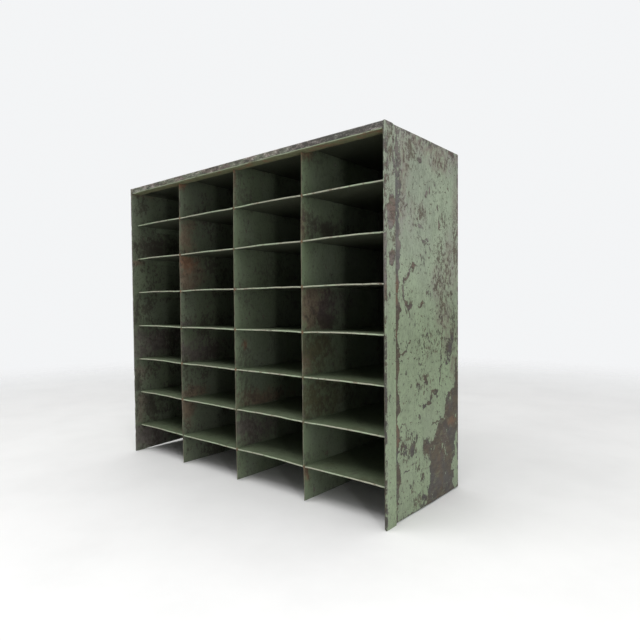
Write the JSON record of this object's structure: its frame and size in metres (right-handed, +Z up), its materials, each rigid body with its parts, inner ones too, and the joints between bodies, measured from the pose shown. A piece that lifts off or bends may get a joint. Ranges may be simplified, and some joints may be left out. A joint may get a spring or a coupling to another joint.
{
  "type": "sorting rack",
  "caption": "Free-standing sheet-steel mail sorting rack with open pigeonhole compartments in a slotted grid of shelves and dividers above an open foot bay.",
  "frame": {"origin": "on the floor, midway across the width and the depth", "axes": "+X to the right as seen from the open front, +Y from the open front towards the back sheet, +Z up"},
  "size_m": [1, 0.354, 0.876],
  "materials": {
    "case_paint": "grey-green paint, chipped and scratched down to brown bare steel, satin to dull",
    "worn_top": "grey-green paint worn through to dark mottled steel, with rust spots",
    "grid_paint": "green paint, dull, with brown rust stains and light worn edges",
    "angle_steel": "green paint over folded steel, dull"
  },
  "bodies": {
    "root": {"side_sheet_left": "case_paint", "side_sheet_right": "case_paint", "front_bar_left": "case_paint", "front_bar_right": "case_paint", "top_sheet": "worn_top", "back_sheet": "case_paint", "shelf_1": "grid_paint", "shelf_angle_left_1": "angle_steel", "shelf_angle_right_1": "angle_steel", "shelf_2": "grid_paint", "shelf_angle_left_2": "angle_steel", "shelf_angle_right_2": "angle_steel", "shelf_3": "grid_paint", "shelf_angle_left_3": "angle_steel", "shelf_angle_right_3": "angle_steel", "shelf_4": "grid_paint", "shelf_angle_left_4": "angle_steel", "shelf_angle_right_4": "angle_steel", "shelf_5": "grid_paint", "shelf_angle_left_5": "angle_steel", "shelf_angle_right_5": "angle_steel", "shelf_6": "grid_paint", "shelf_angle_left_6": "angle_steel", "shelf_angle_right_6": "angle_steel", "shelf_7": "grid_paint", "shelf_angle_left_7": "angle_steel", "shelf_angle_right_7": "angle_steel", "divider_1": "grid_paint", "divider_2": "grid_paint", "divider_3": "grid_paint"}
  },
  "joints": []
}
